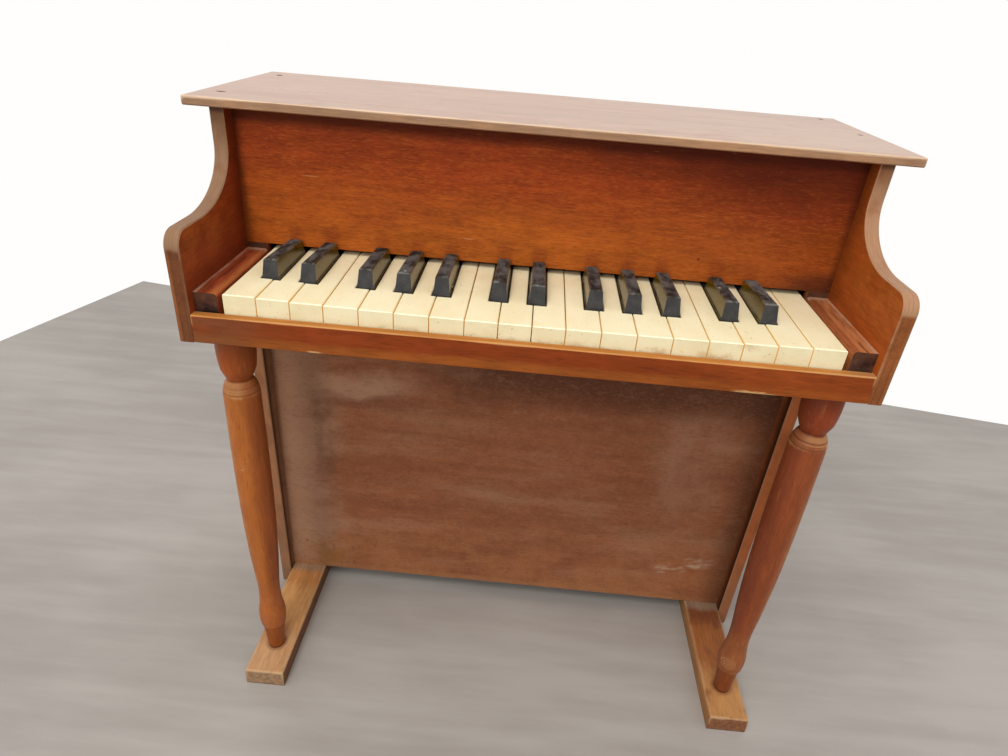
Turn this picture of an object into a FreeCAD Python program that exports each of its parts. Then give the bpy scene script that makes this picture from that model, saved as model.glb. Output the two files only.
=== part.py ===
import FreeCAD
import Part

import math
import os

# A small upright toy piano of stained wood, with two turned legs on runner feet.
# Frame: millimetres, +Z up, X along the keyboard, the player on the -Y side.
# The origin is on the floor, under the middle of the whole piano.

Vector = FreeCAD.Vector

# Overall sizes
overall_height = 459.0
overall_depth = 242.0
upper_height = 137.6

# Boards of the case
board_thick = 9.5
panel_thick = 3.2
board_ease = 0.7
top_thick = 6.0
top_front_overhang = 11.5
top_overhang = 12.0
fallboard_thick = 6.4
fallboard_gap = 3.8
slip_thick = 6.0
slip_lap = 1.1
slip_gap = 1.0

# Outline of a side board, seen from the end of the piano
arm_rise = 71.9
arm_length = 31.5
nose_radius = 11.0
cove_reach = 51.5
cove_rise = 35.0
web_round = 6.0

# Feet and legs
toe_reach = 17.0
foot_width = 32.4
foot_height = 15.6
foot_ease = 1.6
leg_setback = 14.3
leg_diameter = 26.2
tenon_diameter = 9.5
tenon_length = 6.5
tenon_clearance = 0.15

# Lower case
knee_setback = 109.0
knee_inset = 9.0
side_lean = 9.0
cleat_size = 12.0
back_lift = 8.0

# Keyboard: the pitch of the key tails sets every width along it
semitone = 12.7
key_count = 30
key_gap = 0.7
key_end_gap = 3.5
key_show = 89.0
key_wall = 1.8
key_top_wall = 2.2
key_ease = 0.5
white_skirt = 14.2
shoulder_reach = 31.6
shell_tuck = 11.0
black_setback = 32.4
black_rise = 12.8
black_fall = 3.0
black_slope = 3.0
black_side_slope = 1.6
black_back_slope = 1.0
black_lip = 0.5
black_lip_rise = 0.8
black_end_gap = 1.5
black_skirt = 15.7
black_ease = 0.9

# Key blocks at the ends of the keyboard
block_width = 15.0
block_drop = 0.5
block_round = 2.5
block_setback = 0.5

# Key levers, pivot and stops
pivot_reach = 125.0
pivot_drop = 8.7
pivot_diameter = 3.2
pivot_clearance = 0.05
lever_gap = 2.2
lever_depth = 9.0
lever_overlap = 55.0
key_dip = 7.5
rest_setback = 14.0
rest_bow = 0.97
rest_gap = 0.2
strike_reach = 25.8
hammer_rise = 7.0
hammer_thick = 5.0
rest_felt_thick = 2.0
rest_rail_depth = 14.0
stop_felt_depth = 40.0
stop_felt_thick = 1.3
stop_felt_setback = 8.0
stop_felt_gap = 0.3

# Pivot brackets, bent from sheet steel
bracket_sheet = 1.5
bracket_flange = 11.0
bracket_depth = 26.0
bracket_headroom = 5.0
bracket_gap = 5.0
rod_overhang = 2.0

# Tone rods and the iron block that holds them
rod_diameter = 2.4
rod_front_gap = 9.4
rod_socket = 8.0
strike_gap = 0.8
tone_block_depth = 12.0
tone_block_height = 16.0
tone_block_overhang = 3.0

# Extra length that carries every cut clear through
overrun = 1.0
# Largest difference between two places that count as the same place
same_place = 0.001

# Widths of the white key fronts, in semitones, from C to B and for the last F
narrow_front_share = 5 / 3
wide_front_share = 7 / 4
# Semitones above each C that are black keys, and those of the white keys
black_steps = (1, 3, 6, 8, 10)
white_steps = (0, 2, 4, 5, 7, 9, 11)
octave_steps = 12

# Turning of a leg: arcs through three places, each a share of its length and of its diameter
cup_shares = ((1.0, 0.95), (0.955, 1.0), (0.912, 0.905))
cup_foot_shares = ((0.912, 0.905), (0.898, 0.775), (0.886, 0.641))
shoulder_shares = ((0.886, 0.641), (0.871, 0.84), (0.84, 0.955))
shaft_shares = ((0.84, 0.955), (0.7, 0.981), (0.56, 0.971))
calf_shares = ((0.56, 0.971), (0.407, 0.888), (0.262, 0.692))
ankle_shares = ((0.262, 0.692), (0.215, 0.65), (0.165, 0.725))
bulb_shares = ((0.165, 0.725), (0.128, 0.832), (0.09, 0.741))
leg_arc_shares = (cup_shares, cup_foot_shares, shoulder_shares, ankle_shares, bulb_shares)
leg_swell_shares = (shaft_shares, calf_shares)
swell_cones = 5
pin_head_shares = (0.09, 0.68)
pin_foot_shares = (0, 0.511)

# Places worked out from the sizes
keyboard_steps = key_count - 1 + narrow_front_share
keyboard_width = keyboard_steps * semitone
inner_width = keyboard_width + 2 * (key_end_gap + block_width)
inner_x = inner_width / 2
bed_height = overall_height - upper_height
outer_x = inner_x + board_thick
toe_y = -overall_depth / 2
back_y = overall_depth / 2
case_back_y = back_y - panel_thick
key_front_y = toe_y + toe_reach
slip_back_y = key_front_y - slip_gap
arm_front_y = slip_back_y - slip_thick
cove_front_y = arm_front_y + arm_length
post_front_y = cove_front_y + cove_reach
fallboard_y = key_front_y + key_show
fallboard_back_y = fallboard_y + fallboard_thick
top_front_y = post_front_y - top_front_overhang
tone_face_y = case_back_y - tone_block_depth
rod_free_length = tone_face_y - fallboard_back_y - rod_front_gap
knee_y = key_front_y + knee_setback
side_low_y = knee_y - knee_inset
leg_x = inner_x - foot_width / 2
leg_y = key_front_y + leg_setback
leg_length = bed_height - foot_height
pivot_y = key_front_y + pivot_reach
hammer_y = tone_face_y - strike_reach
hammer_reach = hammer_y - pivot_y
rest_y = hammer_y - rest_setback
rest_reach = rest_y - pivot_y
tail_end_y = hammer_y + hammer_thick
shell_back_y = fallboard_y + shell_tuck
under_top_z = overall_height - top_thick
bed_top_z = bed_height + board_thick
full_dip = math.atan(key_dip / pivot_reach)
stop_dip = (pivot_reach - stop_felt_setback) * math.sin(full_dip)
stop_top_z = bed_top_z + stop_felt_thick
white_bottom_z = stop_top_z + stop_felt_gap + stop_dip
key_top_z = white_bottom_z + white_skirt
slip_top_z = white_bottom_z + slip_lap
arm_top_z = bed_height + arm_rise
fallboard_z = key_top_z + fallboard_gap
black_bottom_z = key_top_z - black_skirt
pivot_z = key_top_z - pivot_drop
lever_width = semitone - lever_gap
lever_top_z = pivot_z + lever_depth / 2
lever_bottom_z = pivot_z - lever_depth / 2
hammer_top_z = lever_top_z + hammer_rise
rod_z = hammer_top_z + hammer_reach * math.sin(full_dip) + strike_gap + rod_diameter / 2
bracket_x = keyboard_width / 2 + bracket_gap


def box(x_low, x_high, y_low, y_high, z_low, z_high):
    """A block between three pairs of places."""
    corner = Vector(x_low, y_low, z_low)
    return Part.makeBox(x_high - x_low, y_high - y_low, z_high - z_low, corner)


def line(start, end):
    return Part.LineSegment(start, end).toShape()


def arc(start, middle, end):
    return Part.Arc(start, middle, end).toShape()


def polygon(points):
    """A flat face inside a closed run of straight edges."""
    return Part.Face(Part.makePolygon(list(points) + [points[0]]))


def rod(radius, start, end):
    """A round bar from one place to another."""
    run = end - start
    return Part.makeCylinder(radius, run.Length, start, run)


def mirrored(shape):
    """The same piece for the other end of the piano."""
    return shape.mirror(Vector(0, 0, 0), Vector(1, 0, 0))


def edges_at(shape, axis, place):
    """The edges of a shape that lie wholly in one plane across an axis."""
    found = []
    for edge in shape.Edges:
        low = getattr(edge.BoundBox, axis + "Min")
        high = getattr(edge.BoundBox, axis + "Max")
        if abs(low - place) < same_place and abs(high - place) < same_place:
            found.append(edge)
    return found


def side_outline():
    """The outline of a side board: lower board, arm, nose, cove and post."""
    bend = math.sqrt(2) / 2
    web = Vector(inner_x, side_low_y - side_lean - web_round, bed_height - web_round)
    nose = Vector(inner_x, arm_front_y + nose_radius, arm_top_z - nose_radius)
    cove = Vector(inner_x, cove_front_y, arm_top_z + cove_rise)
    low_foot = Vector(inner_x, side_low_y, 0)
    low_head = web + Vector(0, web_round, 0)
    arm_root = web + Vector(0, 0, web_round)
    arm_heel = Vector(inner_x, arm_front_y, bed_height)
    nose_foot = nose - Vector(0, nose_radius, 0)
    nose_head = nose + Vector(0, 0, nose_radius)
    cove_foot = cove - Vector(0, 0, cove_rise)
    cove_head = cove + Vector(0, cove_reach, 0)
    post_head = Vector(inner_x, post_front_y, under_top_z)
    back_head = Vector(inner_x, case_back_y, under_top_z)
    back_foot = Vector(inner_x, case_back_y, 0)
    curve = Part.Ellipse(cove_head, cove_foot, cove)
    return [
        line(low_foot, low_head),
        arc(low_head, web + Vector(0, web_round, web_round) * bend, arm_root),
        line(arm_root, arm_heel),
        line(arm_heel, nose_foot),
        arc(nose_foot, nose + Vector(0, -nose_radius, nose_radius) * bend, nose_head),
        line(nose_head, cove_foot),
        Part.ArcOfEllipse(curve, 0, math.pi / 2).toShape(),
        line(cove_head, post_head),
        line(post_head, back_head),
        line(back_head, back_foot),
        line(back_foot, low_foot),
    ]


def side_board():
    """The right side board, sawn in one piece from floor to top."""
    wire = Part.Wire(Part.__sortEdges__(side_outline()))
    board = Part.Face(wire).extrude(Vector(board_thick, 0, 0))
    worn = []
    for edge in edges_at(board, "X", inner_x) + edges_at(board, "X", outer_x):
        bounds = edge.BoundBox
        if bounds.YMax < case_back_y - overrun and bounds.ZMin > bed_height - same_place:
            worn.append(edge)
    return board.makeChamfer(board_ease, worn)


def top_board():
    """The flat top, nailed down on the sides and the fallboard."""
    reach = outer_x + top_overhang
    board = box(-reach, reach, top_front_y, back_y, under_top_z, overall_height)
    front = edges_at(board, "Y", top_front_y)
    ends = edges_at(board, "X", reach) + edges_at(board, "X", -reach)
    worn = {edge.hashCode(): edge for edge in front + ends}
    return board.makeChamfer(board_ease, list(worn.values()))


def fallboard():
    """The upright front board over the keys."""
    return box(-inner_x, inner_x, fallboard_y, fallboard_back_y, fallboard_z, under_top_z)


def key_slip():
    """The rail in front of the keys, flush with the arms."""
    rail = box(-inner_x, inner_x, arm_front_y, slip_back_y, bed_height, slip_top_z)
    worn = []
    for edge in edges_at(rail, "Y", arm_front_y):
        if edge.BoundBox.XLength > inner_x:
            worn.append(edge)
    return rail.makeChamfer(board_ease, worn)


def leg_places():
    return [Vector(-leg_x, leg_y, 0), Vector(leg_x, leg_y, 0)]


def key_bed():
    """The shelf that carries the action, with sockets for the legs."""
    bed = box(-inner_x, inner_x, slip_back_y, case_back_y, bed_height, bed_top_z)
    socket_radius = tenon_diameter / 2 + tenon_clearance
    for place in leg_places():
        floor = place + Vector(0, 0, bed_height - overrun)
        roof = place + Vector(0, 0, bed_height + tenon_length + tenon_clearance)
        bed = bed.cut(rod(socket_radius, floor, roof))
    return bed


def key_block():
    """The right block between the last key and the side, with a heel that the fallboard stands on."""
    block_x = inner_x - block_width
    front_y = key_front_y + block_setback
    block = box(block_x, inner_x, front_y, fallboard_y, bed_top_z, key_top_z - block_drop)
    worn = []
    for edge in edges_at(block, "Z", key_top_z - block_drop):
        if edge.BoundBox.XMax < inner_x - same_place:
            worn.append(edge)
    block = block.makeFillet(block_round, worn)
    heel = box(block_x, inner_x, fallboard_y, fallboard_back_y, bed_top_z, fallboard_z)
    return block.fuse(heel).removeSplitter()


def swell_shares(places, count):
    """Even steps along the parabola through three places, for a long and shallow swell."""
    (head, head_width), (middle, middle_width), (low, low_width) = places
    slope = (middle_width - head_width) / (middle - head)
    bend = ((low_width - middle_width) / (low - middle) - slope) / (low - head)
    steps = []
    for number in range(count + 1):
        height = head + (low - head) * number / count
        width = head_width + (height - head) * (slope + bend * (height - middle))
        steps.append((height, width))
    return steps


def leg():
    """A turned right leg: cup, shoulder, shaft, calf, bulb and pin, with a tenon at each end."""
    def station(share, width_share):
        height = foot_height + leg_length * share
        return Vector(leg_diameter * width_share / 2, 0, height)

    tenon = Vector(tenon_diameter / 2, 0, 0)
    head = Vector(0, 0, bed_height)
    foot = Vector(0, 0, foot_height)
    tip = Vector(0, 0, tenon_length)
    rim = station(*cup_shares[0])
    ring = station(*bulb_shares[-1])
    pin_head = station(*pin_head_shares)
    pin_foot = station(*pin_foot_shares)
    edges = [
        line(head + tip, head + tip + tenon),
        line(head + tip + tenon, head + tenon),
        line(head + tenon, rim),
        line(ring, pin_head),
        line(pin_head, pin_foot),
        line(pin_foot, foot + tenon),
        line(foot + tenon, foot + tenon - tip),
        line(foot + tenon - tip, foot - tip),
        line(foot - tip, head + tip),
    ]
    for places in leg_arc_shares:
        edges.append(arc(*[station(*pair) for pair in places]))
    for places in leg_swell_shares:
        swell = [station(*pair) for pair in swell_shares(places, swell_cones)]
        for upper, lower in zip(swell, swell[1:]):
            edges.append(line(upper, lower))
    profile = Part.Face(Part.Wire(Part.__sortEdges__(edges)))
    turned = profile.revolve(Vector(0, 0, 0), Vector(0, 0, 1), 360)
    turned.translate(Vector(leg_x, leg_y, 0))
    return turned


def foot():
    """The right runner foot, with a socket for the leg."""
    runner = box(leg_x - foot_width / 2, inner_x, toe_y, case_back_y, 0, foot_height)
    toe_edges = edges_at(runner, "Z", foot_height)
    worn = [edge for edge in toe_edges if edge.BoundBox.YMin < case_back_y - same_place]
    runner = runner.makeFillet(foot_ease, worn)
    floor = Vector(leg_x, leg_y, foot_height - tenon_length - tenon_clearance)
    roof = Vector(leg_x, leg_y, foot_height + overrun)
    return runner.cut(rod(tenon_diameter / 2 + tenon_clearance, floor, roof))


def knee_panel():
    """The thin panel that closes the lower case in front."""
    return box(-inner_x, inner_x, knee_y, knee_y + panel_thick, foot_height, bed_height)


def back_panel():
    """The thin back, which is also the sounding board."""
    return box(-outer_x, outer_x, case_back_y, back_y, back_lift, under_top_z)


def pair_of(shape):
    """One solid for each end of the piano, kept together in one node."""
    return Part.Compound([mirrored(shape), shape])


def fallboard_cleats():
    """Upright battens that hold the fallboard to the sides."""
    low_x = inner_x - cleat_size
    high_y = fallboard_back_y + cleat_size
    return pair_of(box(low_x, inner_x, fallboard_back_y, high_y, fallboard_z, under_top_z))


def knee_cleats():
    """Upright battens behind the ends of the knee panel."""
    low_x = inner_x - cleat_size
    low_y = knee_y + panel_thick
    return pair_of(box(low_x, inner_x, low_y, low_y + cleat_size, foot_height, bed_height))


def bed_cleats():
    """Battens along the sides, under the key bed."""
    low_x = inner_x - cleat_size
    low_y = knee_y + panel_thick + cleat_size
    return pair_of(box(low_x, inner_x, low_y, case_back_y, bed_height - cleat_size, bed_height))


def key_pivot_rod():
    """The steel rod that every key turns on."""
    end_x = bracket_x + bracket_sheet + rod_overhang
    return rod(pivot_diameter / 2, Vector(-end_x, pivot_y, pivot_z), Vector(end_x, pivot_y, pivot_z))


def pivot_bracket():
    """The right bracket: a flange on the key bed and an ear for the rod."""
    low_y = pivot_y - bracket_depth / 2
    high_y = pivot_y + bracket_depth / 2
    ear_x = bracket_x + bracket_sheet
    ear_top_z = pivot_z + bracket_headroom
    flange_z = bed_top_z + bracket_sheet
    flange = box(bracket_x, bracket_x + bracket_flange, low_y, high_y, bed_top_z, flange_z)
    ear = polygon([
        Vector(bracket_x, low_y, bed_top_z),
        Vector(bracket_x, high_y, bed_top_z),
        Vector(bracket_x, high_y, flange_z),
        Vector(bracket_x, pivot_y + bracket_headroom, ear_top_z),
        Vector(bracket_x, pivot_y - bracket_headroom, ear_top_z),
        Vector(bracket_x, low_y, flange_z),
    ]).extrude(Vector(bracket_sheet, 0, 0))
    bracket = flange.fuse(ear).removeSplitter()
    bore_start = Vector(bracket_x - overrun, pivot_y, pivot_z)
    bore_end = Vector(ear_x + overrun, pivot_y, pivot_z)
    return bracket.cut(rod(pivot_diameter / 2 + pivot_clearance, bore_start, bore_end))


def rest_height(x):
    """How far the bowed rest rail lifts a key's tail at a place along the keyboard."""
    return rest_bow * (1 - (2 * x / keyboard_width) ** 2)


def bowed_strip(low_left, high_left, y_low, depth, flat_bottom):
    """A strip as long as the keyboard, bowed upwards in the middle."""
    end_x = keyboard_width / 2

    def at(x, z):
        return Vector(x, y_low, z)

    if flat_bottom:
        bottom = line(at(end_x, low_left), at(-end_x, low_left))
    else:
        bottom = arc(at(end_x, low_left), at(0, low_left + rest_bow), at(-end_x, low_left))
    edges = [
        arc(at(-end_x, high_left), at(0, high_left + rest_bow), at(end_x, high_left)),
        line(at(end_x, high_left), at(end_x, low_left)),
        bottom,
        line(at(-end_x, low_left), at(-end_x, high_left)),
    ]
    return Part.Face(Part.Wire(edges)).extrude(Vector(0, depth, 0))


def tail_rest_rail():
    """The wooden rail under the key tails, which has bowed with age."""
    top_z = lever_bottom_z - rest_gap - rest_felt_thick
    return bowed_strip(bed_top_z, top_z, rest_y - rest_rail_depth / 2, rest_rail_depth, True)


def tail_rest_felt():
    """The felt on the rest rail."""
    top_z = lever_bottom_z - rest_gap
    low_y = rest_y - rest_rail_depth / 2
    return bowed_strip(top_z - rest_felt_thick, top_z, low_y, rest_rail_depth, False)


def down_stop_felt():
    """The felt that stops the keys at the bottom of their dip."""
    low_y = key_front_y + stop_felt_setback
    reach = keyboard_width / 2
    return box(-reach, reach, low_y, low_y + stop_felt_depth, bed_top_z, stop_top_z)


def tail_x(step):
    """The middle of a key's tail: every key takes one semitone there."""
    return (step + 0.5) * semitone - keyboard_width / 2


def rod_length(step):
    """A rod that sounds a semitone higher is shorter by the 24th root of two."""
    return rod_free_length * 2 ** (-step / 24)


def tone_rods():
    """Graduated steel rods that stand out forwards over the hammers."""
    rods = []
    for step in range(key_count):
        root = Vector(tail_x(step), tone_face_y + rod_socket, rod_z)
        tip = Vector(tail_x(step), tone_face_y - rod_length(step), rod_z)
        rods.append(rod(rod_diameter / 2, root, tip))
    return Part.Compound(rods)


def tone_block():
    """The iron bar that the rods are pressed into, set against the sounding board."""
    reach = keyboard_width / 2 + tone_block_overhang
    low_z = rod_z - tone_block_height / 2
    high_z = rod_z + tone_block_height / 2
    return box(-reach, reach, tone_face_y, case_back_y, low_z, high_z)


def lever(step, ceiling_z):
    """The bar behind a key, with the hammer nose on its tail."""
    middle_x = tail_x(step)
    low_x = middle_x - lever_width / 2
    rib_front_y = shell_back_y - lever_overlap
    rib_back_y = shell_back_y - key_wall / 2
    nose_front_y = hammer_y - hammer_thick / 2
    nose_back_y = hammer_y + hammer_thick / 2
    nose_side_z = hammer_top_z - hammer_thick / 4
    nose_flat = hammer_thick / 4

    def at(y, z):
        return Vector(low_x, y, z)

    edges = [
        line(at(rib_front_y, ceiling_z), at(rib_back_y, ceiling_z)),
        line(at(rib_back_y, ceiling_z), at(rib_back_y, lever_top_z)),
        line(at(rib_back_y, lever_top_z), at(nose_front_y, lever_top_z)),
        line(at(nose_front_y, lever_top_z), at(nose_front_y, nose_side_z)),
        line(at(nose_front_y, nose_side_z), at(hammer_y - nose_flat, hammer_top_z)),
        line(at(hammer_y - nose_flat, hammer_top_z), at(hammer_y + nose_flat, hammer_top_z)),
        line(at(hammer_y + nose_flat, hammer_top_z), at(nose_back_y, nose_side_z)),
        line(at(nose_back_y, nose_side_z), at(nose_back_y, lever_top_z)),
        line(at(nose_back_y, lever_top_z), at(tail_end_y, lever_bottom_z)),
        line(at(tail_end_y, lever_bottom_z), at(rib_front_y + lever_depth, lever_bottom_z)),
        line(at(rib_front_y + lever_depth, lever_bottom_z), at(rib_front_y, ceiling_z)),
    ]
    return Part.Face(Part.Wire(edges)).extrude(Vector(lever_width, 0, 0))


def finished_key(shell, step, ceiling_z):
    """Join a key's shell to its lever, bore it for the rod and set it at rest."""
    middle_x = tail_x(step)
    bore_start = Vector(middle_x - semitone, pivot_y, pivot_z)
    bore_end = Vector(middle_x + semitone, pivot_y, pivot_z)
    bore = rod(pivot_diameter / 2 + pivot_clearance, bore_start, bore_end)
    key = shell.fuse(lever(step, ceiling_z)).removeSplitter().cut(bore)
    sag = math.degrees(math.atan(rest_height(middle_x) / rest_reach))
    key.rotate(Vector(0, pivot_y, pivot_z), Vector(1, 0, 0), sag)
    return key


def white_front(step):
    """The left and right edges of a white key's front, in semitones from the left end."""
    octave, note = divmod(step, octave_steps)
    rank = white_steps.index(note)
    if note < white_steps[3]:
        left = octave * octave_steps + rank * narrow_front_share
        width = narrow_front_share
    else:
        left = octave * octave_steps + white_steps[3] + (rank - 3) * wide_front_share
        width = wide_front_share
    if step == key_count - 1:
        width = narrow_front_share
    return left, left + width


def white_outline(step):
    """A white key from above: a wide front, cut back beside the black keys."""
    left, right = white_front(step)
    tail_left = step
    tail_right = step + 1
    if step == key_count - 1:
        tail_right = right
    side = key_gap / 2
    shift = keyboard_width / 2
    front_low = left * semitone - shift + side
    front_high = right * semitone - shift - side
    tail_low = tail_left * semitone - shift + side
    tail_high = tail_right * semitone - shift - side
    shoulder_y = key_front_y + shoulder_reach
    points = [Vector(front_low, key_front_y, 0), Vector(front_high, key_front_y, 0)]
    if front_high - tail_high > same_place:
        points.append(Vector(front_high, shoulder_y, 0))
        points.append(Vector(tail_high, shoulder_y, 0))
    points.append(Vector(tail_high, shell_back_y, 0))
    points.append(Vector(tail_low, shell_back_y, 0))
    if tail_low - front_low > same_place:
        points.append(Vector(tail_low, shoulder_y, 0))
        points.append(Vector(front_low, shoulder_y, 0))
    return points


def white_key(step):
    """A moulded white key, hollow underneath, on its lever."""
    outline = polygon(white_outline(step))
    ceiling_z = key_top_z - key_top_wall
    outline.translate(Vector(0, 0, white_bottom_z))
    shell = outline.extrude(Vector(0, 0, white_skirt))
    worn = []
    for edge in edges_at(shell, "Z", key_top_z):
        if edge.BoundBox.YMin < shell_back_y - same_place:
            worn.append(edge)
    shell = shell.makeChamfer(key_ease, worn)
    mitred_corners = 2
    hollow = outline.makeOffset2D(-key_wall, mitred_corners)
    hollow = hollow.extrude(Vector(0, 0, white_skirt - key_top_wall))
    return finished_key(shell.cut(hollow), step, ceiling_z)


def black_key(step):
    """A moulded black key: a straight skirt under a tapered, sloping cap."""
    middle_x = tail_x(step)
    half = (semitone - key_gap) / 2
    front_y = key_front_y + black_setback
    cap_back_y = fallboard_y - black_end_gap
    lip_z = key_top_z + black_lip_rise
    cap_top_z = key_top_z + black_rise

    def ring(half_width, y_low, y_high, z_low, z_high):
        corners = [
            Vector(middle_x - half_width, y_low, z_low),
            Vector(middle_x + half_width, y_low, z_low),
            Vector(middle_x + half_width, y_high, z_high),
            Vector(middle_x - half_width, y_high, z_high),
        ]
        return Part.makePolygon(corners + corners[:1])

    base = ring(half - black_lip, front_y + black_lip, cap_back_y, lip_z, lip_z)
    top = ring(
        half - black_side_slope, front_y + black_slope, cap_back_y - black_back_slope,
        cap_top_z, cap_top_z - black_fall,
    )
    cap = Part.makeLoft([base, top], True, True)
    roof = max(cap.Faces, key=lambda face: face.CenterOfMass.z)
    cap = cap.makeChamfer(black_ease, roof.Edges)
    skirt = box(middle_x - half, middle_x + half, front_y, cap_back_y, black_bottom_z, lip_z)
    tail = box(middle_x - half, middle_x + half, front_y, shell_back_y, black_bottom_z, lever_top_z)
    shell = skirt.fuse(tail).fuse(cap).removeSplitter()
    ceiling_z = lever_top_z - key_top_wall
    inner = half - key_wall
    hollow = box(
        middle_x - inner, middle_x + inner, front_y + key_wall, shell_back_y - key_wall,
        black_bottom_z - overrun, ceiling_z,
    )
    return finished_key(shell.cut(hollow), step, ceiling_z)


def keys():
    """Every key by name, numbered from the left end of the keyboard."""
    named = {}
    for step in range(key_count):
        number = str(step + 1).zfill(2)
        if step % octave_steps in black_steps:
            named["black_key_" + number] = black_key(step)
        else:
            named["white_key_" + number] = white_key(step)
    return named


def piano():
    """Every piece of the piano by its node name."""
    pieces = {
        "top_board": top_board(),
        "left_side": mirrored(side_board()),
        "right_side": side_board(),
        "fallboard": fallboard(),
        "key_slip": key_slip(),
        "key_bed": key_bed(),
        "left_key_block": mirrored(key_block()),
        "right_key_block": key_block(),
        "left_leg": mirrored(leg()),
        "right_leg": leg(),
        "left_foot": mirrored(foot()),
        "right_foot": foot(),
        "knee_panel": knee_panel(),
        "back_panel": back_panel(),
        "fallboard_cleats": fallboard_cleats(),
        "knee_cleats": knee_cleats(),
        "bed_cleats": bed_cleats(),
        "key_pivot_rod": key_pivot_rod(),
        "left_pivot_bracket": mirrored(pivot_bracket()),
        "right_pivot_bracket": pivot_bracket(),
        "down_stop_felt": down_stop_felt(),
        "tail_rest_rail": tail_rest_rail(),
        "tail_rest_felt": tail_rest_felt(),
        "tone_block": tone_block(),
        "tone_rods": tone_rods(),
    }
    pieces.update(keys())
    return pieces


os.makedirs("parts", exist_ok=True)
for node, shape in piano().items():
    shape.exportStep("parts/" + node + ".step")
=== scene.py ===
import math

import bpy
from mathutils import Matrix, Vector


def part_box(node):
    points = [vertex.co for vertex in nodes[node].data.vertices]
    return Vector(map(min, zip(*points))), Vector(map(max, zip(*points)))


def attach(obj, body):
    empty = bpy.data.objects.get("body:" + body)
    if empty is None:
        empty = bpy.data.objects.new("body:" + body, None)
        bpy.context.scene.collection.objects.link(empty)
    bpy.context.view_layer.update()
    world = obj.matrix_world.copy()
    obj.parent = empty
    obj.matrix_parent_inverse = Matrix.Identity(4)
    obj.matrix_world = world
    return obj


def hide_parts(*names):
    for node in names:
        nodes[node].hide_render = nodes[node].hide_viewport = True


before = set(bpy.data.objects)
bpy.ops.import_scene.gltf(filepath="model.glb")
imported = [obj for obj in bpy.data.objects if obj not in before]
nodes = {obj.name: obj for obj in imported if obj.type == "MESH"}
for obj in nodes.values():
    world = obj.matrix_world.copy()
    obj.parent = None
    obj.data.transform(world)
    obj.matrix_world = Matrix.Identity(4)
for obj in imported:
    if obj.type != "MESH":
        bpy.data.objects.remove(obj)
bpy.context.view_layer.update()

# Floor, light and camera
# The piano stands on a pale painted floor that stops at a white wall behind it and on the left.
# The room is white all round. One lamp stands in front on the left and a broad one hangs overhead.
scene = bpy.context.scene
scene.view_settings.view_transform = "Standard"


class Shade:
    """One socket of a node tree. Arithmetic on it adds Math nodes to that tree."""

    def __init__(self, tree, socket):
        self.tree, self.socket = tree, socket

    def node(self, kind, settings, sockets, give=0):
        """Any node: its type, its settings, the values or links of its sockets, and the output it gives."""
        made = self.tree.nodes.new("ShaderNode" + kind)
        for name, value in settings.items():
            setattr(made, name, value)
        for name, value in sockets.items():
            if isinstance(value, Shade):
                self.tree.links.new(value.socket, made.inputs[name])
            elif made.inputs[name].type == "RGBA":
                made.inputs[name].default_value = (*value, 1)
            else:
                made.inputs[name].default_value = value
        return Shade(self.tree, made.outputs[give])

    def maths(self, how, *terms):
        return self.node("Math", {"operation": how}, dict(enumerate(terms)))

    def __add__(self, other):
        return self.maths("ADD", self, other)

    def __sub__(self, other):
        return self.maths("SUBTRACT", self, other)

    def __rsub__(self, other):
        return self.maths("SUBTRACT", other, self)

    def __mul__(self, other):
        return self.maths("MULTIPLY", self, other)

    def __truediv__(self, other):
        return self.maths("DIVIDE", self, other)

    def __abs__(self):
        return self.maths("ABSOLUTE", self)

    def __neg__(self):
        return self.maths("MULTIPLY", self, -1.0)

    __radd__ = __add__
    __rmul__ = __mul__

    def least(self, other):
        return self.maths("MINIMUM", self, other)

    def most(self, other):
        return self.maths("MAXIMUM", self, other)

    def root(self):
        return self.maths("SQRT", self)

    def wave(self):
        return self.maths("SINE", self)

    def rounded(self):
        return self.maths("ROUND", self)

    def apart(self):
        """The three numbers of a vector."""
        parts = self.node("SeparateXYZ", {}, {0: self}).socket.node.outputs
        return [Shade(self.tree, part) for part in parts]

    def between(self, start, end):
        """0 up to start, 1 from end on and smooth between them. start may be the larger one."""
        return self.node("MapRange", {"interpolation_type": "SMOOTHSTEP"},
                         {"Value": self, "From Min": start, "From Max": end})

    def near(self, middle, reach):
        """1 at the middle value, falling to 0 at that reach on either side of it."""
        return abs(self - middle).between(reach, reach * 0.35)

    def frayed(self, cloud, width):
        """This place moved by a cloudiness, so that an edge set by it wanders over that width."""
        return self + (cloud - 0.5) * width

    def tint(self, under, over):
        """The colour under where this is 0, and the colour over where it is 1."""
        return self.node("Mix", {"data_type": "RGBA"}, {0: self, 6: under, 7: over}, 2)

    def noise(self, stretch, detail=3.0, rough=0.55):
        """Cloudiness about 0.5, so many lumps to the metre along x, y and z."""
        spread = self.node("VectorMath", {"operation": "MULTIPLY"}, {0: self, 1: stretch})
        return self.node("TexNoise", {}, {"Vector": spread, "Scale": 1.0, "Detail": detail,
                                          "Roughness": rough})

    def to(self, shader, socket):
        self.tree.links.new(self.socket, shader.inputs[socket])

    def press(self, shader, strength, depth):
        """Presses this pattern into the surface, to a depth in metres."""
        self.node("Bump", {}, {"Strength": strength, "Distance": depth, "Height": self}).to(shader, "Normal")


def start_finish(name, shine):
    """A new finish: the material, its shader, the place on the piece and the way the surface faces."""
    made = bpy.data.materials.new(name)
    made.use_nodes = True
    tree = made.node_tree
    shader = tree.nodes["Principled BSDF"]
    shader.inputs["Specular IOR Level"].default_value = shine
    spot = tree.nodes.new("ShaderNodeTexCoord")
    return made, shader, Shade(tree, spot.outputs["Object"]), Shade(tree, spot.outputs["Normal"])


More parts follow.
